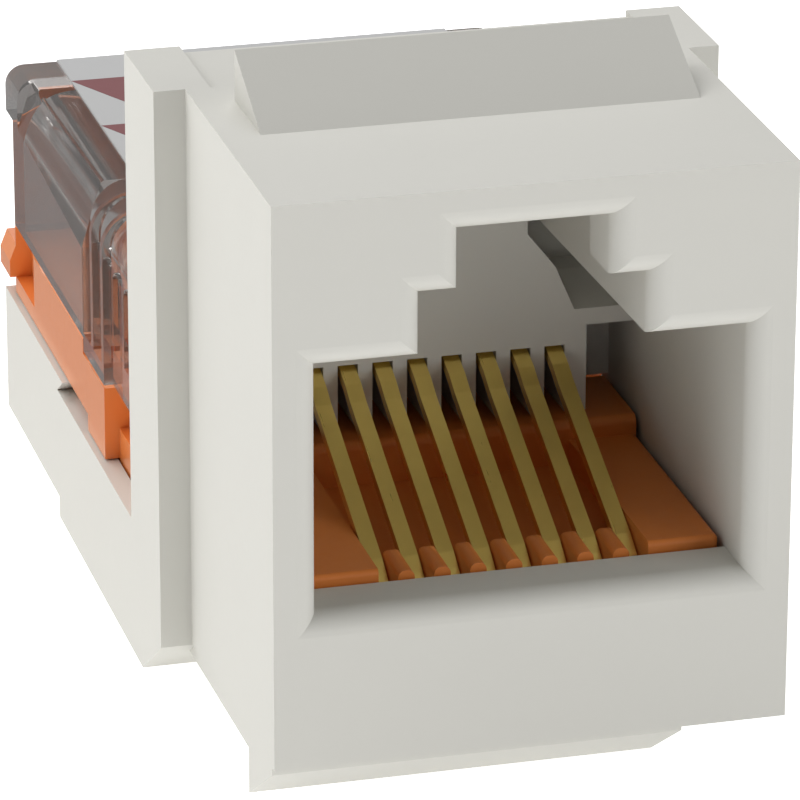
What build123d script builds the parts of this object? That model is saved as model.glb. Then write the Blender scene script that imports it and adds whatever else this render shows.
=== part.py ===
from build123d import *
import os

# Keystone jack, in millimetres.
# X runs to the right seen from the front, Y runs into the jack, Z is up.
# The origin is the centre of the plug mouth in the front plane.

# Plug mouth
mouth_height = 7.12
mouth_ceiling_drop = 0.45
step_width = 6.3
step_rise = 1.75
latch_slot_width = 4.2
latch_slot_rise = 1.7
front_plate_depth = 2.2
lead_in_radius = 0.6
mouth_floor = -mouth_height / 2
mouth_ceiling = mouth_height / 2
latch_ceiling = mouth_ceiling + step_rise + latch_slot_rise

# Housing block, heights are measured from its underside
body_width = 14.5
side_wall = 1.25
body_height = 16.2
floor_height = 4.43
body_length = 13.65
back_wall = 0.65
back_wall_front = body_length - back_wall
underside_z = mouth_floor - floor_height
body_side = body_width / 2
mouth_side = body_side - side_wall
side_fall = 0.45

# Panel stop
stop_thickness = 3.75
stop_overhang = 0.9
stop_inner_reach = 0.7
stop_top_recess = 0.2
stop_low_front = -0.5
stop_chamfer_length = 2.5
stop_front = body_length - stop_thickness
stop_tip_y = stop_front + stop_chamfer_length
stop_side = body_side + stop_overhang

# Rigid catch on the top
panel_room = 1.26
catch_length = 3.01
catch_rise = 1.45
catch_left_inset = 1.1
catch_right_inset = 1.0
catch_root = 0.3
catch_back = stop_front - panel_room
catch_front = catch_back - catch_length

# Hook and keel under the body
hook_front = 0.28
hook_lip = 0.24
hook_length = 2.72
hook_drop = 2.0
hook_root = 0.3
hook_right_inset = 2.9
keel_inset = 0.12
keel_drop_front = 0.85
keel_drop_back = 1.12
hook_tip_y = hook_front + hook_length
hook_right = body_side - hook_right_inset

# Tray behind the panel stop
tray_length = 18.35
tray_front_length = 10.45
tray_drop = 2.2
tray_back_drop = 1.52
tray_wall = 0.6
tray_wall_low = 2.0
tray_catch_overhang = 0.8
tray_wall_high = 2.52
tray_floor_top = -0.7
tray_end = body_length + tray_length
tray_step_y = body_length + tray_front_length

# Contact sled
body_gap = 0.05
sled_side_gap = 0.15
sled_front = 1.95
sled_rise = 0.32
sled_block_rise = 0.87
sled_block_lead = 0.6
sled_trough_depth = 0.75
ridge_length = 1.65
ridge_drop = 0.1
ridge_slot_depth = 2.15
contact_slot = 0.55
ridge_round = 0.2
sled_nose_round = 0.15
sled_block_round = 0.25
sled_side = mouth_side - sled_side_gap
sled_top = floor_height + sled_rise
sled_block_top = floor_height + sled_block_rise
ridge_end = sled_front + ridge_length
ridge_top = sled_top - ridge_drop
ridge_floor = sled_top - ridge_slot_depth

# Contact comb, gable and shoulders inside the mouth
contact_count = 8
contact_pitch = 1.016
comb_depth = 2.7
comb_margin = 0.944
comb_gap = 0.1
comb_slot_width = 0.6
comb_slot_height = 2.05
shoulder_rise = 2.6
shoulder_height = 0.5
shoulder_bevel_rise = 0.6
shoulder_bevel_length = 1.7
gable_low_side = 4.13
gable_mid_side = 3.55
gable_mid_height = 9.85
gable_top_side = 2.72
gable_top_height = 10.9
comb_front = back_wall_front - comb_depth
comb_side = contact_pitch * (contact_count - 1) / 2 + comb_margin
comb_bottom = sled_block_top + comb_gap
comb_slot_top = comb_bottom + comb_slot_height
shoulder_bottom = comb_bottom + shoulder_rise
shoulder_top = shoulder_bottom + shoulder_height
shoulder_back_top = shoulder_top + shoulder_bevel_rise
shoulder_bevel_y = comb_front + shoulder_bevel_length
sled_block_front = comb_front - sled_block_lead

# Spring contacts, heights are measured from the top of the sled
contact_width = 0.47
contact_thickness = 0.3
contact_bend_radius = 0.34
contact_tip_reach = 0.2
contact_knee_lead = 0.6
contact_bend_lead = 1.2
contact_tip_rise = 2.65
contact_knee_rise = 2.36
contact_bend_rise = 2.03
contact_dip_y = 3.5
contact_dip_drop = 0.35
contact_nose_y = 3.02
contact_nose_drop = 0.63
contact_curl_y = 2.3
contact_curl_drop = 1.15
contact_foot_drop = 1.75

# Wiring base
base_gap = 0.3
base_length = 17.35
base_side_gap = 0.35
flange_recess = 0.2
base_deck = 4.75
base_foot_top = 3.0
column_lead = 4.15
column_length = 2.4
flange_low_deck = 4.3
corner_pocket_length = 0.6
corner_ramp_length = 2.2
corner_pocket_bottom = 3.1
corner_pocket_depth = 0.5
lug_root = 0.1
lug_length = 1.5
lug_edge = 3.65
lug_top = 4.2
lug_bevel_width = 0.22
rear_plate_thickness = 0.45
rear_plate_top = 8.2
rear_plate_inset = 0.1
base_front = body_length + base_gap
base_back = base_front + base_length
base_inner_side = stop_side - tray_wall - base_side_gap
base_foot_side = stop_side - tray_wall - body_gap
base_flange_side = stop_side - flange_recess
column_front = base_front + column_lead
column_back = column_front + column_length
lug_front = base_back - lug_root
lug_back = lug_front + lug_length
rear_plate_back = base_back + rear_plate_thickness
rear_plate_side = base_flange_side - rear_plate_inset
sled_back = base_front - sled_side_gap

# Circuit board in its bay
bay_front_gap = 0.1
bay_floor = 0.95
board_thickness = 1.0
board_lead = 0.65
board_end = 3.3
board_edge = 0.4
bay_front = sled_front - bay_front_gap
bay_passage_top = sled_block_top + body_gap
board_bottom = bay_floor + body_gap
board_front = bay_front + board_lead
board_back = base_back - board_end

# Wiring towers and forks
fork_count = 4
fork_pitch = 1.45
fork_lead_in = 2.12
tower_outer = 6.5
tower_inner = 3.9
tower_margin_front = 0.7
tower_margin_back = 0.8
tower_top = 8.0
wire_slot_width = 0.7
wire_slot_bottom = 5.5
fork_width = 1.1
fork_thickness = 0.35
fork_top = 8.3
fork_slit = 0.3
fork_slit_bottom = 6.0
fork_pocket_gap = 0.04
fork_lead = 0.15
fork_first_y = base_front + fork_lead_in
fork_last_y = fork_first_y + fork_pitch * (fork_count - 1)
fork_x = (tower_outer + tower_inner) / 2
board_side = fork_x + board_edge
tower_front = fork_first_y - tower_margin_front
tower_back = fork_last_y + tower_margin_back

# Cable channel from the back to the towers
channel_side = 3.5
channel_lead = 0.3
channel_floor = 3.4
channel_front = tower_front + channel_lead

# Wire cap
cap_lead = 0.15
cap_top = 9.75
cap_wall = 0.8
cap_front_wall = 0.5
cap_gap = 0.1
cap_roof = 1.0
cap_bevel_width = 0.45
cap_bevel_rise = 1.45
cap_bevel_front_rise = 2.05
cap_bevel_round = 0.15
cap_shoulder_radius = 1.2
cap_hollow_radius = 1.1
cap_lip_length = 0.55
cap_lip_radius = 0.6
cap_recess = 0.28
cap_tooth = 0.3
cap_band_rise = 0.6
cap_slot_width = 0.9
cap_slot_top = 8.1
cap_side = base_flange_side
cap_front = base_front + cap_lead
cap_back = base_back - body_gap
cap_groove = fork_pitch - cap_tooth
skirt_step_y = fork_last_y + cap_groove / 2
cap_skirt = base_deck + cap_gap
cap_low_skirt = flange_low_deck + cap_gap
cap_lip_back = rear_plate_back + cap_lip_length
cap_lip_bottom = rear_plate_top + cap_gap

# Label
label_margin = 1.65
label_lead = 0.9
label_thickness = 0.08
label_gap = 0.01
label_edge = 0.05
label_side = cap_side - label_margin
label_front = cap_front + label_lead
label_back = cap_lip_back - label_edge


def up(height):
    """Z of a height measured from the underside of the body."""
    return underside_z + height


def contact_x(index):
    """X of one contact, counted from the left."""
    return (index - (contact_count - 1) / 2) * contact_pitch


def fork_y(index):
    """Y of one wiring fork, counted from the panel stop."""
    return fork_first_y + index * fork_pitch


def block(x0, x1, y0, y1, z0, z1):
    """Upright box between two corners."""
    size = (x1 - x0, y1 - y0, z1 - z0)
    centre = ((x0 + x1) / 2, (y0 + y1) / 2, (z0 + z1) / 2)
    return Pos(*centre) * Box(*size)


def side_profile(points, x0, x1):
    """Body with an outline seen from the side, points as (Y, Z)."""
    face = Plane.YZ.offset(x0) * Polygon(*points, align=None)
    return extrude(face, amount=x1 - x0, dir=(1, 0, 0))


def front_profile(points, y0, y1):
    """Body with an outline seen from the front, points as (X, Z)."""
    face = Plane.XZ.offset(-y0) * Polygon(*points, align=None)
    return extrude(face, amount=y1 - y0, dir=(0, 1, 0))


def plan_profile(points, z0, z1):
    """Body with an outline seen from above, points as (X, Y)."""
    face = Plane.XY.offset(z0) * Polygon(*points, align=None)
    return extrude(face, amount=z1 - z0, dir=(0, 0, 1))


def mirrored(half):
    """The outline of a right half with its mirror image added."""
    return half + [(-x, z) for x, z in reversed(half)]


def save(shape, name):
    """Write one piece as a STEP file."""
    export_step(shape, "parts/" + name + ".step")


def make_outer_block():
    """Front block, panel stop, catch, hook, keel and tray as one blank."""
    body = side_profile(
        [(0, up(0)), (0, up(body_height)), (body_length, up(body_height)),
         (body_length, up(-side_fall)), (stop_front, up(-side_fall))],
        -body_side, body_side)
    stop = side_profile(
        [(stop_front, up(body_height)), (body_length, up(body_height)),
         (body_length, up(-tray_drop)), (stop_tip_y, up(-tray_drop)),
         (stop_front, up(stop_low_front))],
        -stop_side, stop_side)
    body += stop
    inner = body_side - stop_inner_reach
    body -= block(-inner, inner, stop_front, body_length + 1,
                  up(body_height - stop_top_recess), up(body_height + 1))
    catch = side_profile(
        [(catch_front, up(body_height)), (catch_back, up(body_height + catch_rise)),
         (catch_back, up(body_height - catch_root)), (catch_front, up(body_height - catch_root))],
        -body_side + catch_left_inset, body_side - catch_right_inset)
    hook = side_profile(
        [(hook_front, up(0)), (hook_front, up(-hook_lip)), (hook_tip_y, up(-hook_drop)),
         (hook_tip_y, up(hook_root)), (hook_front, up(hook_root))],
        -body_side, hook_right)
    keel = side_profile(
        [(hook_front, up(hook_root)), (hook_tip_y, up(-keel_drop_front)),
         (stop_tip_y, up(-keel_drop_back)), (stop_tip_y, up(hook_root))],
        -body_side + keel_inset, hook_right)
    body += catch + hook + keel
    tray = side_profile(
        [(body_length, up(-tray_drop)), (tray_step_y, up(-tray_drop)),
         (tray_step_y, up(-tray_back_drop)), (tray_end, up(-tray_back_drop)),
         (tray_end, up(tray_wall_high)), (tray_step_y - tray_catch_overhang, up(tray_wall_high)),
         (tray_step_y, up(tray_wall_low)), (body_length, up(tray_wall_low))],
        -stop_side, stop_side)
    room = stop_side - tray_wall
    tray -= block(-room, room, body_length, tray_end + 1, up(tray_floor_top), up(body_height))
    return body + tray


def make_mouth():
    """Room of the plug: stepped mouth, latch slot and the room behind the front plate."""
    room = side_profile(
        [(-1, mouth_floor), (back_wall_front, mouth_floor),
         (back_wall_front, mouth_ceiling - mouth_ceiling_drop), (0, mouth_ceiling),
         (-1, mouth_ceiling)],
        -mouth_side, mouth_side)
    step_top = mouth_ceiling + step_rise
    step = block(-step_width / 2, step_width / 2, -1, front_plate_depth, 0, step_top)
    slot = block(-latch_slot_width / 2, latch_slot_width / 2, -1, front_plate_depth,
                 0, latch_ceiling)
    latch_room = block(-step_width / 2, step_width / 2, front_plate_depth, back_wall_front,
                       0, latch_ceiling)
    return room + step + slot + latch_room


def make_comb():
    """Separator behind the mouth: slotted comb, sloped gable and bevelled shoulders."""
    outline = [(comb_side, up(comb_bottom)), (comb_side, up(shoulder_bottom)),
               (mouth_side, up(shoulder_bottom)), (mouth_side, up(shoulder_top)),
               (gable_low_side, up(shoulder_top)), (gable_mid_side, up(gable_mid_height)),
               (gable_top_side, up(gable_top_height)), (gable_top_side, latch_ceiling)]
    comb = front_profile(mirrored(outline), comb_front, back_wall_front)
    for side in (-1, 1):
        edges = sorted([side * gable_low_side, side * mouth_side])
        comb += side_profile(
            [(comb_front, up(shoulder_top)), (shoulder_bevel_y, up(shoulder_back_top)),
             (back_wall_front, up(shoulder_back_top)), (back_wall_front, up(shoulder_top))],
            edges[0], edges[1])
    for index in range(contact_count):
        x = contact_x(index)
        comb -= block(x - comb_slot_width / 2, x + comb_slot_width / 2,
                      comb_front - 1, back_wall_front, up(comb_bottom - 1), up(comb_slot_top))
    return comb


def make_housing():
    """White moulding."""
    housing = make_outer_block() - make_mouth()
    rims = housing.edges().filter_by(
        lambda e: abs(e.center().Y) < 0.01 and abs(e.center().X) < mouth_side + 0.1
        and mouth_floor - 0.1 < e.center().Z < latch_ceiling + 0.1)
    housing = fillet(rims, lead_in_radius)
    housing += make_comb()
    housing -= block(-mouth_side, mouth_side, bay_front, back_wall_front,
                     up(bay_floor), mouth_floor + 0.01)
    housing -= block(-mouth_side, mouth_side, back_wall_front - 0.01, body_length + 0.01,
                     up(bay_floor), up(bay_passage_top))
    return housing


def make_sled():
    """Orange carrier of the spring contacts, with a raised back and rounded ridges."""
    bottom = board_bottom + board_thickness + body_gap
    last = contact_x(contact_count - 1)
    trough = last + contact_slot / 2
    sled = block(-sled_side, sled_side, sled_front, sled_back, up(bottom), up(sled_top))
    sled = fillet(sled.edges().filter_by(Axis.X).group_by(Axis.Y)[0].group_by(Axis.Z)[-1],
                  sled_nose_round)
    sled = fillet(sled.edges().filter_by(Axis.Z).group_by(Axis.Y)[0], sled_nose_round)
    raised = block(-sled_side, sled_side, sled_block_front, back_wall_front - body_gap,
                   up(bottom), up(sled_block_top))
    raised = fillet(raised.edges().filter_by(Axis.X).group_by(Axis.Y)[0].group_by(Axis.Z)[-1],
                    sled_block_round)
    sled += raised
    sled -= block(-trough, trough, ridge_end, sled_block_front,
                  up(sled_top - sled_trough_depth), up(sled_top + 1))
    sled -= block(-trough, trough, sled_front - 1, ridge_end, up(ridge_top), up(sled_top + 1))
    for index in range(contact_count):
        x = contact_x(index)
        sled -= block(x - contact_slot / 2, x + contact_slot / 2, sled_front - 1, ridge_end + 1,
                      up(ridge_floor), up(sled_top + 1))
    ridge_tops = sled.edges().filter_by(
        lambda e: abs(e.center().Z - up(ridge_top)) < 0.01
        and sled_front + 0.01 < e.center().Y < ridge_end + 0.01
        and abs(e.center().X) < last - contact_slot / 2 + 0.05)
    return fillet(ridge_tops, ridge_round)


def make_contact(index):
    """Spring contact with its bent arm, nose and short foot."""
    x = contact_x(index)
    path = FilletPolyline(
        (comb_front + contact_tip_reach, up(sled_top + contact_tip_rise)),
        (comb_front - contact_knee_lead, up(sled_top + contact_knee_rise)),
        (comb_front - contact_bend_lead, up(sled_top + contact_bend_rise)),
        (contact_dip_y, up(sled_top - contact_dip_drop)),
        (contact_nose_y, up(sled_top - contact_nose_drop)),
        (contact_curl_y, up(sled_top - contact_curl_drop)),
        (contact_curl_y, up(sled_top - contact_foot_drop)), radius=contact_bend_radius)
    strip = offset(path, amount=-contact_thickness, side=Side.LEFT)
    face = make_face(strip)
    blank = Plane.YZ.offset(x - contact_width / 2) * face
    return extrude(blank, amount=contact_width, dir=(1, 0, 0))


def make_base():
    """Orange wiring base with side flanges, towers, rear plate and corner lugs."""
    low_deck_back = skirt_step_y + cap_gap
    base = block(-base_inner_side, base_inner_side, base_front, base_back,
                 up(tray_floor_top + body_gap), up(flange_low_deck))
    base += block(-base_foot_side, base_foot_side, base_front, column_back,
                  up(tray_floor_top + body_gap), up(base_foot_top))
    base += block(-base_flange_side, base_flange_side, low_deck_back, base_back,
                  up(tray_wall_high + body_gap), up(base_deck))
    base += block(-base_flange_side, base_flange_side, column_front, column_back,
                  up(tray_wall_low + body_gap), up(flange_low_deck))
    base += block(-base_flange_side, base_flange_side, column_back, low_deck_back,
                  up(tray_wall_high + body_gap), up(flange_low_deck))
    base += block(-rear_plate_side, rear_plate_side, base_back, rear_plate_back,
                  up(tray_wall_high + body_gap), up(rear_plate_top))
    ramp_back = lug_front - corner_pocket_length
    inner = base_flange_side - corner_pocket_depth
    for side in (-1, 1):
        base -= plan_profile(
            [(side * stop_side, lug_front), (side * inner, lug_front), (side * inner, ramp_back),
             (side * base_flange_side, ramp_back - corner_ramp_length),
             (side * stop_side, ramp_back - corner_ramp_length)],
            up(corner_pocket_bottom), up(base_deck + 1))
        base += front_profile(
            [(side * inner, up(corner_pocket_bottom)), (side * stop_side, up(corner_pocket_bottom)),
             (side * stop_side, up(lug_edge)), (side * (stop_side - lug_bevel_width), up(lug_top)),
             (side * inner, up(lug_top))],
            lug_front, lug_back)
        tower = sorted([side * tower_inner, side * tower_outer])
        base += block(tower[0], tower[1], tower_front, tower_back,
                      up(flange_low_deck), up(tower_top))
        for index in range(fork_count):
            y = fork_y(index)
            base -= block(tower[0], tower[1], y - wire_slot_width / 2, y + wire_slot_width / 2,
                          up(wire_slot_bottom), up(tower_top + 1))
            reach_x = fork_thickness / 2 + fork_pocket_gap
            reach_y = fork_width / 2 + fork_pocket_gap
            base -= block(side * fork_x - reach_x, side * fork_x + reach_x,
                          y - reach_y, y + reach_y, up(board_bottom), up(tower_top + 1))
    base -= block(-board_side - body_gap, board_side + body_gap, base_front - 1,
                  board_back + body_gap, up(board_bottom - body_gap),
                  up(board_bottom + board_thickness + body_gap))
    base -= block(-channel_side, channel_side, channel_front, rear_plate_back,
                  up(channel_floor), up(rear_plate_top))
    return base


def make_board():
    """Circuit board between the contacts and the wiring forks."""
    return block(-board_side, board_side, board_front, board_back,
                 up(board_bottom), up(board_bottom + board_thickness))


def make_fork(side, index):
    """Slotted wiring fork that cuts through the cover of a wire."""
    y = fork_y(index)
    bottom = up(board_bottom + board_thickness)
    half = fork_width / 2
    slit = fork_slit / 2
    outline = [(half, bottom), (half, up(fork_top - fork_lead)), (half - fork_lead, up(fork_top)),
               (slit + fork_lead, up(fork_top)), (slit, up(fork_top - 2 * fork_lead)),
               (slit, up(fork_slit_bottom))]
    points = [(y + w, z) for w, z in mirrored(outline)]
    x = side * fork_x
    return side_profile(points, x - fork_thickness / 2, x + fork_thickness / 2)


def rounded_block(half_width, y0, y1, z0, radius):
    """Upright section of the wire cap with round shoulders."""
    section = block(-half_width, half_width, y0, y1, z0, up(cap_top))
    shoulders = section.edges().filter_by(Axis.Y).group_by(Axis.Z)[-1]
    return fillet(shoulders, radius)


def make_cap_back():
    """Rear part of the wire cap, with bevels that widen to the front and a rear lip."""
    back = block(-cap_side, cap_side, skirt_step_y, cap_back, up(cap_skirt), up(cap_top))
    foot = up(cap_top - cap_bevel_rise)
    fall = cap_bevel_front_rise - cap_bevel_rise
    for side in (-1, 1):
        along = Vector(0, skirt_step_y - cap_back, -fall)
        inward = Vector(-side * cap_bevel_width, 0, cap_bevel_rise)
        bevel = Plane(origin=(side * cap_side, cap_back, foot), x_dir=along,
                      z_dir=along.cross(inward) * side)
        back = split(back, bisect_by=bevel, keep=Keep.TOP)
    bevel_edges = back.edges().filter_by(
        lambda e: e.length > cap_side and e.center().Z > up(cap_skirt) + 0.01
        and skirt_step_y + 0.01 < e.center().Y < cap_back - 0.01)
    back = fillet(bevel_edges, cap_bevel_round)
    return back + rounded_block(cap_side, cap_back - cap_wall, cap_lip_back,
                                up(cap_lip_bottom), cap_lip_radius)


def make_cap():
    """Smoke coloured wire cap with toothed sides, wire slots and a cable opening."""
    inner = cap_side - cap_wall
    cap = make_cap_back()
    cap += rounded_block(cap_side - cap_recess, cap_front, skirt_step_y,
                         up(cap_low_skirt), cap_shoulder_radius)
    for index in (1, 2):
        tooth_front = fork_y(index) + cap_groove / 2
        cap += rounded_block(cap_side, tooth_front, tooth_front + cap_tooth,
                             up(cap_low_skirt), cap_shoulder_radius)
    cap += block(-cap_side, cap_side, fork_y(1) + cap_groove / 2, skirt_step_y,
                 up(cap_low_skirt), up(cap_low_skirt + cap_band_rise))
    hollow = block(-inner, inner, cap_front + cap_front_wall, cap_back - cap_wall,
                   up(cap_low_skirt - 1), up(cap_top - cap_roof))
    cap -= fillet(hollow.edges().filter_by(Axis.Y).group_by(Axis.Z)[-1], cap_hollow_radius)
    for side in (-1, 1):
        for index in range(fork_count):
            cap -= wire_slot(side, index)
    return cap - block(-channel_side, channel_side, cap_back - cap_wall, cap_back,
                       up(cap_skirt), up(cap_lip_bottom))


def wire_slot(side, index):
    """Slot with a round top in one side wall of the cap, beside one fork."""
    y = fork_y(index)
    radius = cap_slot_width / 2
    edges = sorted([side * (cap_side - cap_wall - 0.01), side * (cap_side + 1)])
    arch_z = up(cap_slot_top) - radius
    legs = block(edges[0], edges[1], y - radius, y + radius, up(wire_slot_bottom), arch_z)
    centre = Pos((edges[0] + edges[1]) / 2, y, arch_z) * Rot(0, 90, 0)
    return legs + centre * Cylinder(radius, edges[1] - edges[0])


def make_label():
    """Thin label on the roof of the cap."""
    return block(-label_side, label_side, label_front, label_back,
                 up(cap_top + label_gap), up(cap_top + label_thickness))


if __name__ == "__main__":
    os.makedirs("parts", exist_ok=True)
    save(make_housing(), "housing")
    save(make_sled(), "contact_sled")
    save(make_base(), "wiring_base")
    save(make_board(), "circuit_board")
    save(make_cap(), "wire_cap")
    save(make_label(), "label")
    for number in range(contact_count):
        save(make_contact(number), "contact_" + str(number + 1))
    for number in range(fork_count):
        save(make_fork(-1, number), "fork_left_" + str(number + 1))
        save(make_fork(1, number), "fork_right_" + str(number + 1))
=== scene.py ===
import logging
import math
from dataclasses import dataclass, field
from enum import Enum

import bpy
from mathutils import Matrix, Vector


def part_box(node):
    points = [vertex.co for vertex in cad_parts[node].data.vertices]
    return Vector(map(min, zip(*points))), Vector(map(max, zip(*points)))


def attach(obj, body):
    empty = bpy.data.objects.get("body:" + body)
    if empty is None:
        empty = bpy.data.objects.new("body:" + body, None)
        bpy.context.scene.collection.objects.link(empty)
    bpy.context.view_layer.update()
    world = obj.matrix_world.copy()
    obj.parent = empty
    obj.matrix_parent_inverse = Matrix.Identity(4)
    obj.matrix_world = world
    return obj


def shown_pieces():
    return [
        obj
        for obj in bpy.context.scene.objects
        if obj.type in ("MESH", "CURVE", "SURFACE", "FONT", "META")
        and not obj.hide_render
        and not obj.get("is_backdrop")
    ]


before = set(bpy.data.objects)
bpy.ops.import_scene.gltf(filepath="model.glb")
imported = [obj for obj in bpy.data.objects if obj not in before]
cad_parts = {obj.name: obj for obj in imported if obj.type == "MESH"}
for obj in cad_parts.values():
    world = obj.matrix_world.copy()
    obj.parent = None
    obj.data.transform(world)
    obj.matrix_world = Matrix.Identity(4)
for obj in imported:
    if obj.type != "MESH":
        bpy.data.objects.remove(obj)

log = logging.getLogger("keystone_jack")

MM = 0.001
# Two vertices nearer than this in plan, in metres, stand on one upright edge.
SAME_PLACE = 1e-7

Color = tuple[float, float, float]


class Ride(Enum):
    """Body of the frame that new pieces ride on."""

    CAP = "cap"


class Side(Enum):
    """Left and right of the jack, by their direction from the middle."""

    LEFT = -1
    RIGHT = 1


class Sheen(Enum):
    """How polished a mould leaves a plastic surface, as roughness."""

    SATIN = 0.42
    SPARKED = 0.58
    MATT = 0.8


class Ray(Enum):
    """Kinds of light ray that a finish can answer in a way of its own."""

    SHADOW = "Is Shadow Ray"
    GLOSSY = "Is Glossy Ray"


# What every skin group puts out, with the type of each socket.
SKIN_OUTPUTS = {
    "Color": "NodeSocketColor",
    "Roughness": "NodeSocketFloat",
    "Normal": "NodeSocketVector",
}


def open_group(name: str, inputs: dict[str, str]) -> bpy.types.NodeTree:
    """Makes a node group that puts out a colour, a roughness and a normal.

    Args:
        name: Name of the group.
        inputs: Name and socket type of each input.

    Returns:
        The group, with its sockets and its input and output nodes.
    """
    group = bpy.data.node_groups.new(name, "ShaderNodeTree")
    for side, sockets in (("INPUT", inputs), ("OUTPUT", SKIN_OUTPUTS)):
        for title, kind in sockets.items():
            group.interface.new_socket(name=title, in_out=side, socket_type=kind)
    group.nodes.new("NodeGroupInput").name = "inside"
    group.nodes.new("NodeGroupOutput").name = "outside"
    return group


def raise_relief(group: bpy.types.NodeTree, noise: bpy.types.Node, strength: str,
                 spread: float, depth: float) -> None:
    """Varies a group's roughness by a noise, and bumps the surface by it.

    Args:
        group: The node group.
        noise: Its noise texture.
        strength: The group's input that says how strong the bump is.
        spread: How far the roughness goes up and down.
        depth: Height of the bump, in metres.
    """
    nodes, link = group.nodes, group.links.new
    inside, outside = nodes["inside"], nodes["outside"]
    shift = nodes.new("ShaderNodeMapRange")
    shift.inputs["To Min"].default_value = -spread
    shift.inputs["To Max"].default_value = spread
    link(noise.outputs["Fac"], shift.inputs["Value"])
    rough = nodes.new("ShaderNodeMath")
    rough.operation = "ADD"
    link(shift.outputs["Result"], rough.inputs[0])
    link(inside.outputs["Roughness"], rough.inputs[1])
    link(rough.outputs["Value"], outside.inputs["Roughness"])
    bump = nodes.new("ShaderNodeBump")
    bump.inputs["Distance"].default_value = depth
    link(inside.outputs[strength], bump.inputs["Strength"])
    link(noise.outputs["Fac"], bump.inputs["Height"])
    link(bump.outputs["Normal"], outside.inputs["Normal"])


@dataclass(frozen=True)
class MouldedGrain:
    """Node group for the faint flow marks and spark grain of a moulded plastic skin."""

    name: str = "moulded_grain"
    flow_scale: float = 260.0
    flow_detail: float = 3.0
    flow_bend: float = 0.6
    flow_shade: Color = (0.55, 0.55, 0.56)
    grain_detail: float = 4.0
    roughness_spread: float = 0.05
    depth: float = 0.02 * MM

    def group(self) -> bpy.types.NodeTree:
        """Builds the group, or finds it where another finish has built it.

        Returns:
            The one group that every moulded finish shares.
        """
        known = bpy.data.node_groups.get(self.name)
        if known is not None:
            return known
        group = open_group(self.name, {
            "Color": "NodeSocketColor", "Roughness": "NodeSocketFloat",
            "Flow": "NodeSocketFloat", "Grain": "NodeSocketFloat",
            "Grain Scale": "NodeSocketFloat"})
        nodes, link = group.nodes, group.links.new
        inside = nodes["inside"]
        place = nodes.new("ShaderNodeTexCoord")
        flow = nodes.new("ShaderNodeTexNoise")
        flow.inputs["Scale"].default_value = self.flow_scale
        flow.inputs["Detail"].default_value = self.flow_detail
        flow.inputs["Distortion"].default_value = self.flow_bend
        grain = nodes.new("ShaderNodeTexNoise")
        grain.inputs["Detail"].default_value = self.grain_detail
        link(place.outputs["Object"], flow.inputs["Vector"])
        link(place.outputs["Object"], grain.inputs["Vector"])
        link(inside.outputs["Grain Scale"], grain.inputs["Scale"])
        share = nodes.new("ShaderNodeMath")
        share.operation = "MULTIPLY"
        link(flow.outputs["Fac"], share.inputs[0])
        link(inside.outputs["Flow"], share.inputs[1])
        darker = nodes.new("ShaderNodeMix")
        darker.data_type = "RGBA"
        darker.blend_type = "MULTIPLY"
        darker.inputs["B"].default_value = (*self.flow_shade, 1.0)
        link(share.outputs["Value"], darker.inputs["Factor"])
        link(inside.outputs["Color"], darker.inputs["A"])
        link(darker.outputs["Result"], nodes["outside"].inputs["Color"])
        raise_relief(group, grain, "Grain", self.roughness_spread, self.depth)
        return group


@dataclass(frozen=True)
class DrawnStrip:
    """Node group for the fine lengthwise lines of stamped and plated strip."""

    name: str = "drawn_strip"
    line_stretch: tuple[float, float, float] = (9000.0, 500.0, 500.0)
    line_scale: float = 1.0
    line_detail: float = 3.0
    patch_scale: float = 700.0
    roughness_spread: float = 0.06
    depth: float = 0.01 * MM

    def group(self) -> bpy.types.NodeTree:
        """Builds the group, or finds it where another finish has built it.

        Returns:
            The one group that the metal finishes share.
        """
        known = bpy.data.node_groups.get(self.name)
        if known is not None:
            return known
        group = open_group(self.name, {
            "Color": "NodeSocketColor", "Worn Color": "NodeSocketColor",
            "Roughness": "NodeSocketFloat", "Lines": "NodeSocketFloat"})
        nodes, link = group.nodes, group.links.new
        inside = nodes["inside"]
        place = nodes.new("ShaderNodeTexCoord")
        stretch = nodes.new("ShaderNodeMapping")
        stretch.inputs["Scale"].default_value = self.line_stretch
        lines = nodes.new("ShaderNodeTexNoise")
        lines.inputs["Scale"].default_value = self.line_scale
        lines.inputs["Detail"].default_value = self.line_detail
        patches = nodes.new("ShaderNodeTexNoise")
        patches.inputs["Scale"].default_value = self.patch_scale
        link(place.outputs["Object"], stretch.inputs["Vector"])
        link(stretch.outputs["Vector"], lines.inputs["Vector"])
        link(place.outputs["Object"], patches.inputs["Vector"])
        tint = nodes.new("ShaderNodeMix")
        tint.data_type = "RGBA"
        link(patches.outputs["Fac"], tint.inputs["Factor"])
        link(inside.outputs["Color"], tint.inputs["A"])
        link(inside.outputs["Worn Color"], tint.inputs["B"])
        link(tint.outputs["Result"], nodes["outside"].inputs["Color"])
        raise_relief(group, lines, "Lines", self.roughness_spread, self.depth)
        return group


def new_material(name: str) -> tuple[bpy.types.Material, bpy.types.Node]:
    """Makes a node material with one Principled shader.

    Args:
        name: Name of the material.

    Returns:
        The material and its Principled node.
    """
    material = bpy.data.materials.new(name)
    material.use_nodes = True
    return material, material.node_tree.nodes["Principled BSDF"]


def set_sockets(node: bpy.types.Node, values: dict[str, object]) -> None:
    """Sets inputs of a node.

    Args:
        node: The node.
        values: Name and value of each input.
    """
    for title, value in values.items():
        node.inputs[title].default_value = value


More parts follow.
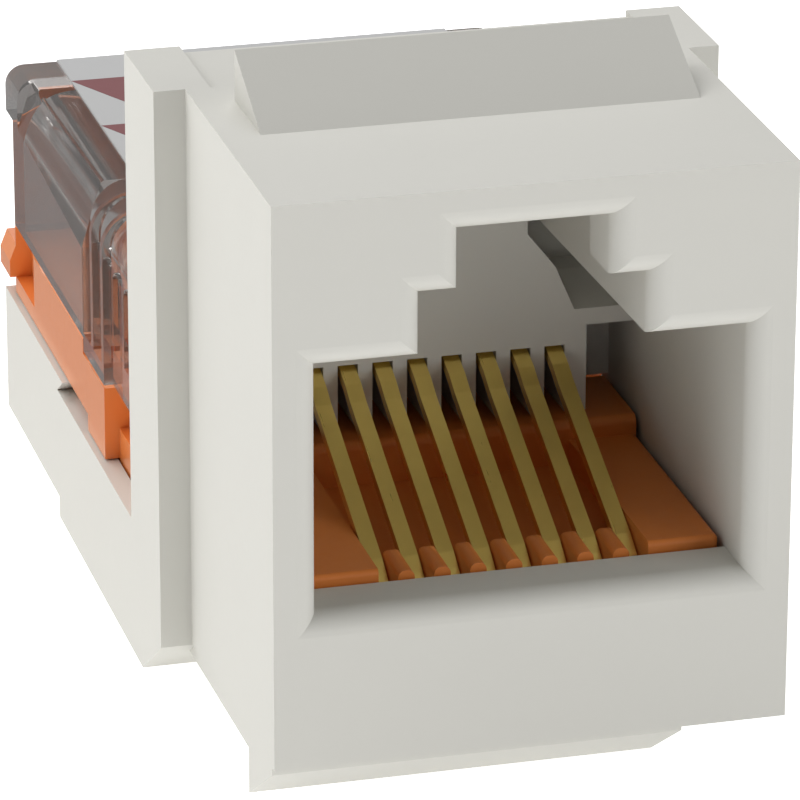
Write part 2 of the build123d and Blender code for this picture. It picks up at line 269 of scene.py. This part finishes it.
def add_skin(material: bpy.types.Material, shader: bpy.types.Node, group: bpy.types.NodeTree,
             values: dict[str, object]) -> None:
    """Places a shared node group in a material and leads it into the shader.

    Args:
        material: The material.
        shader: Its Principled node.
        group: The shared node group.
        values: What this material gives to the group's inputs.
    """
    tree = material.node_tree
    skin = tree.nodes.new("ShaderNodeGroup")
    skin.node_tree = group
    set_sockets(skin, values)
    for source, wanted in (("Color", "Base Color"), ("Roughness", "Roughness"),
                           ("Normal", "Normal")):
        tree.links.new(skin.outputs[source], shader.inputs[wanted])


def answer_ray(material: bpy.types.Material, shader: bpy.types.Node, ray: Ray, wanted: str,
               usual: float | tuple[float, ...], special: float | tuple[float, ...]) -> None:
    """Gives a shader socket one value in general and another to one kind of ray.

    Args:
        material: The material.
        shader: Its Principled node.
        ray: The kind of ray.
        wanted: Name of the shader's socket.
        usual: Number, or colour with alpha, for the other rays.
        special: The same for this kind of ray.
    """
    tree = material.node_tree
    rays = tree.nodes.new("ShaderNodeLightPath")
    choice = tree.nodes.new("ShaderNodeMix")
    choice.data_type = "RGBA" if isinstance(usual, tuple) else "FLOAT"
    set_sockets(choice, {"A": usual, "B": special})
    tree.links.new(rays.outputs[ray.value], choice.inputs["Factor"])
    tree.links.new(choice.outputs["Result"], shader.inputs[wanted])


@dataclass(frozen=True)
class MouldedFinish:
    """Opaque moulded plastic."""

    name: str
    color: Color
    sheen: Sheen
    flow: float
    grain: float
    grain_scale: float
    gloss: float = 0.4
    coat: float = 0.0
    coat_roughness: float = 0.2

    def material(self) -> bpy.types.Material:
        """Builds the material of this finish.

        Returns:
            The material, ready for a piece's slot.
        """
        material, shader = new_material(self.name)
        add_skin(material, shader, MouldedGrain().group(), {
            "Color": (*self.color, 1.0), "Roughness": self.sheen.value, "Flow": self.flow,
            "Grain": self.grain, "Grain Scale": self.grain_scale})
        set_sockets(shader, {"Specular IOR Level": self.gloss, "Coat Weight": self.coat,
                             "Coat Roughness": self.coat_roughness})
        return material


@dataclass(frozen=True)
class ClearFinish:
    """See-through moulded plastic with a smoke tint.

    Its shadow is only as dark as shade says, so that light reaches what it covers.
    """

    name: str
    tint: Color
    clearness: float = 0.95
    roughness: float = 0.06
    ior: float = 1.3
    shade: float = 0.05
    flow: float = 0.1
    grain: float = 0.02
    grain_scale: float = 900.0

    def material(self) -> bpy.types.Material:
        """Builds the material of this finish.

        Returns:
            The material, ready for a piece's slot.
        """
        material, shader = new_material(self.name)
        add_skin(material, shader, MouldedGrain().group(), {
            "Color": (*self.tint, 1.0), "Roughness": self.roughness, "Flow": self.flow,
            "Grain": self.grain, "Grain Scale": self.grain_scale})
        answer_ray(material, shader, Ray.SHADOW, "Alpha", 1.0, self.shade)
        set_sockets(shader, {"Transmission Weight": self.clearness, "IOR": self.ior})
        return material


@dataclass(frozen=True)
class StripFinish:
    """Plated spring strip."""

    name: str
    color: Color
    worn: Color
    roughness: float
    lines: float = 0.2

    def material(self) -> bpy.types.Material:
        """Builds the material of this finish.

        Returns:
            The material, ready for a piece's slot.
        """
        material, shader = new_material(self.name)
        add_skin(material, shader, DrawnStrip().group(), {
            "Color": (*self.color, 1.0), "Worn Color": (*self.worn, 1.0),
            "Roughness": self.roughness, "Lines": self.lines})
        set_sockets(shader, {"Metallic": 1.0})
        return material


WHITE = MouldedFinish("white_moulding", (0.627, 0.618, 0.572), Sheen.SPARKED,
                      flow=0.05, grain=0.10, grain_scale=5200.0)
ORANGE = MouldedFinish("orange_moulding", (0.72, 0.215, 0.04), Sheen.SATIN,
                       flow=0.12, grain=0.12, grain_scale=3600.0)
# Lighter copy of the orange moulding: the lighter colour is painted light for the base, which
# stands brighter lit than the sled; the coat is real gloss.
PAINTED_LIGHT_ORANGE = MouldedFinish("glossy_orange_moulding", (0.82, 0.235, 0.045), Sheen.SATIN,
                              flow=0.12, grain=0.12, grain_scale=3600.0, coat=1.0)
BOARD = MouldedFinish("green_board", (0.03, 0.14, 0.06), Sheen.SATIN,
                      flow=0.25, grain=0.2, grain_scale=2400.0)
FILM = MouldedFinish("label_film", (0.50, 0.50, 0.50), Sheen.MATT,
                     flow=0.03, grain=0.04, grain_scale=2600.0)
PRINT = MouldedFinish("red_print", (0.22, 0.08, 0.085), Sheen.MATT,
                      flow=0.05, grain=0.04, grain_scale=2600.0)
SMOKE = ClearFinish("smoke_moulding", (0.67, 0.64, 0.62))
GOLD = StripFinish("gold_strip", (0.98, 0.75, 0.23), (0.84, 0.63, 0.19), roughness=0.3)
FORK = StripFinish("fork_strip", (0.75, 0.66, 0.45), (0.62, 0.53, 0.36), roughness=0.36)


def dress(names: list[str], material: bpy.types.Material) -> None:
    """Gives CAD nodes their finish.

    Args:
        names: Nodes of the frame.
        material: The finish that each gets in its only slot.
    """
    for name in names:
        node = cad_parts[name]
        node.data.materials.clear()
        node.data.materials.append(material)


def deselect() -> None:
    """Leaves nothing selected, so that an operator acts on the new piece alone."""
    bpy.ops.object.select_all(action="DESELECT")


def pull_corner(prism: bpy.types.Object, starts: list[Vector], number: int, place: Vector) -> None:
    """Moves the two vertices of one upright corner of a prism in edit mode.

    Args:
        prism: A cylinder with three sides, in edit mode.
        starts: Where its vertices were when it was made, in pairs from below.
        number: Which corner, in the order in which the cylinder was made.
        place: Where the middle of the corner goes.
    """
    bpy.ops.mesh.select_mode(type="VERT")
    bpy.ops.mesh.select_all(action="DESELECT")
    bpy.ops.object.mode_set(mode="OBJECT")
    corner = starts[2 * number].xy
    pair = [i for i, start in enumerate(starts) if (start.xy - corner).length < SAME_PLACE]
    for i in pair:
        prism.data.vertices[i].select = True
    bpy.ops.object.mode_set(mode="EDIT")
    middle = sum((starts[i] for i in pair), Vector()) / len(pair)
    bpy.ops.transform.translate(value=place - middle)


@dataclass
class Jack:
    """White moulding with the orange sled, base, board and metal parts."""

    contacts: int = 8
    forks: int = 4

    def build(self) -> None:
        """Dresses every node of the jack's body and its springs."""
        dress(["housing"], WHITE.material())
        dress(["contact_sled"], ORANGE.material())
        # The base is the same orange plastic as the sled; its lighter copy of the colour is painted
        # light.
        dress(["wiring_base"], PAINTED_LIGHT_ORANGE.material())
        dress(["circuit_board"], BOARD.material())
        dress([f"contact_{i}" for i in range(1, self.contacts + 1)], GOLD.material())
        dress([f"fork_{side.name.lower()}_{i}" for side in Side for i in range(1, self.forks + 1)],
              FORK.material())


@dataclass
class CapLabel:
    """Label film on the cap's roof, printed with a column of pointed flags at each side."""

    flags: int = 3
    first_y: float = 30.05 * MM
    pitch: float = 4.4 * MM
    width: float = 2.0 * MM
    length: float = 4.0 * MM
    ink: float = 0.01 * MM
    sink: float = 0.002 * MM

    def build_flag(self, side: Side, index: int, edge_x: float, film_top: float,
                   ink: bpy.types.Material) -> None:
        """Adds one printed flag, a right-angled triangle with its longer leg towards the middle.

        Args:
            side: The column that it stands in.
            index: Count from the back of the label.
            edge_x: Distance of the label's side edge from the middle.
            film_top: Height of the label's upper face.
            ink: Finish of the print.
        """
        deselect()
        bpy.ops.mesh.primitive_cylinder_add(vertices=3, radius=self.width, depth=self.ink)
        flag = bpy.context.object
        flag.name = f"print_{side.name.lower()}_{index + 1}"
        outer, inner = side.value * edge_x, side.value * (edge_x - self.width)
        y = self.first_y - index * self.pitch
        z = film_top + self.ink / 2 - self.sink
        corners = [Vector((outer, y, z)), Vector((inner, y, z)),
                   Vector((inner, y - self.length, z))]
        if side is Side.RIGHT:
            corners.reverse()
        starts = [vertex.co.copy() for vertex in flag.data.vertices]
        bpy.ops.object.mode_set(mode="EDIT")
        for number, corner in enumerate(corners):
            pull_corner(flag, starts, number, corner)
        bpy.ops.object.mode_set(mode="OBJECT")
        flag.data.materials.append(ink)
        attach(flag, Ride.CAP.value)

    def build(self) -> None:
        """Dresses the label's node and prints the flags on it."""
        dress(["label"], FILM.material())
        _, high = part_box("label")
        ink = PRINT.material()
        for side in Side:
            for index in range(self.flags):
                self.build_flag(side, index, high.x, high.z, ink)


@dataclass
class WireCap:
    """Smoke coloured cap over the wiring towers."""

    label: CapLabel = field(default_factory=CapLabel)

    def build(self) -> None:
        """Dresses the cap and builds its label."""
        dress(["wire_cap"], SMOKE.material())
        self.label.build()


@dataclass(frozen=True)
class SoftBox:
    """Square studio light that faces the jack from one direction, in degrees."""

    name: str
    azimuth: float
    elevation: float
    power: float
    size: float = 0.45
    distance: float = 0.6

    def build(self, target: Vector) -> None:
        """Adds the light, turned to the target.

        Args:
            target: The point that the light faces.
        """
        turn, rise = math.radians(self.azimuth), math.radians(self.elevation)
        away = Vector((math.sin(turn) * math.cos(rise), -math.cos(turn) * math.cos(rise),
                       math.sin(rise)))
        data = bpy.data.lights.new(self.name, "AREA")
        data.shape = "SQUARE"
        data.size = self.size
        data.energy = self.power
        lamp = bpy.data.objects.new(self.name, data)
        lamp.location = target + away * self.distance
        lamp.rotation_euler = away.to_track_quat("Z", "Y").to_euler()
        bpy.context.scene.collection.objects.link(lamp)


@dataclass(frozen=True)
class PaperFinish:
    """Pale studio floor with a soft glow, darker where a glossy surface mirrors it."""

    name: str = "studio_paper"
    tone: float = 0.86
    glow: float = 0.72
    tone_in_gloss: float = 0.25
    glow_in_gloss: float = 0.05
    roughness: float = 0.9

    def material(self) -> bpy.types.Material:
        """Builds the material of this finish.

        Returns:
            The material, ready for a piece's slot.
        """
        material, shader = new_material(self.name)
        set_sockets(shader, {"Roughness": self.roughness, "Emission Color": (1.0, 1.0, 1.0, 1.0)})
        answer_ray(material, shader, Ray.GLOSSY, "Emission Strength", self.glow, self.glow_in_gloss)
        answer_ray(material, shader, Ray.GLOSSY, "Base Color",
                   (*[self.tone] * 3, 1.0), (*[self.tone_in_gloss] * 3, 1.0))
        return material


@dataclass
class Studio:
    """Pale floor, soft light and the camera at the photograph's angle."""

    floor_height: float = -10.22 * MM
    floor_size: float = 3.0
    paper: PaperFinish = PaperFinish()
    sky: float = 0.10
    light_target: tuple[float, float, float] = (0.0, 0.012, 0.0)
    lens: float = 265.434
    sensor: float = 36.0
    nearest: float = 0.01
    farthest: float = 20.0
    camera_place: tuple[float, float, float] = (-0.0412976, -0.1403795, 0.0599986)
    camera_right: tuple[float, float, float] = (0.9662635, -0.2575480, 0.0019623)
    camera_down: tuple[float, float, float] = (-0.0930494, -0.3561849, -0.9297710)
    lights: tuple[SoftBox, ...] = (
        SoftBox("back_high", 180.0, 45.0, 2.05),
        SoftBox("back_left", 225.0, 45.0, 1.27),
        SoftBox("left_high", 270.0, 45.0, 0.95),
        SoftBox("left_low", 270.0, 12.0, 0.72),
        SoftBox("front_right", 45.0, 12.0, 1.52),
    )

    def build_floor(self) -> None:
        """Adds the floor plane with its pale, softly glowing finish."""
        deselect()
        bpy.ops.mesh.primitive_plane_add(size=self.floor_size, location=(0, 0, self.floor_height))
        floor = bpy.context.object
        floor.name = "studio_floor"
        floor.data.materials.append(self.paper.material())
        floor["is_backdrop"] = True

    def build_sky(self) -> None:
        """Sets the even light that comes from all round."""
        world = bpy.data.worlds.new("studio_sky")
        world.use_nodes = True
        set_sockets(world.node_tree.nodes["Background"],
                    {"Color": (1.0, 1.0, 1.0, 1.0), "Strength": self.sky})
        bpy.context.scene.world = world

    def build_camera(self) -> None:
        """Adds the camera that was fitted to the photograph."""
        data = bpy.data.cameras.new("camera")
        data.lens = self.lens
        data.sensor_width = self.sensor
        data.clip_start = self.nearest
        data.clip_end = self.farthest
        camera = bpy.data.objects.new("camera", data)
        right = Vector(self.camera_right).normalized()
        back = right.cross(-Vector(self.camera_down)).normalized()
        turn = Matrix((right, back.cross(right), back)).transposed()
        camera.matrix_world = Matrix.Translation(self.camera_place) @ turn.to_4x4()
        bpy.context.scene.collection.objects.link(camera)
        bpy.context.scene.camera = camera

    def build(self) -> None:
        """Builds the whole studio."""
        self.build_floor()
        self.build_sky()
        for light in self.lights:
            light.build(Vector(self.light_target))
        self.build_camera()
        bpy.context.scene.view_settings.view_transform = "Standard"
        log.info("studio: floor, sky, camera and %d lights", len(self.lights))


def main() -> None:
    """Builds every sub-assembly and logs each piece shown with its material."""
    logging.basicConfig(level=logging.INFO, format="%(name)s: %(message)s")
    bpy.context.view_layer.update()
    Jack().build()
    WireCap().build()
    Studio().build()
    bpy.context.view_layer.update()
    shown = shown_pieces()
    for piece in shown:
        log.info("%s: %s", piece.name, piece.active_material.name)
    log.info("pieces shown: %d", len(shown))


if __name__ == "__main__":
    main()
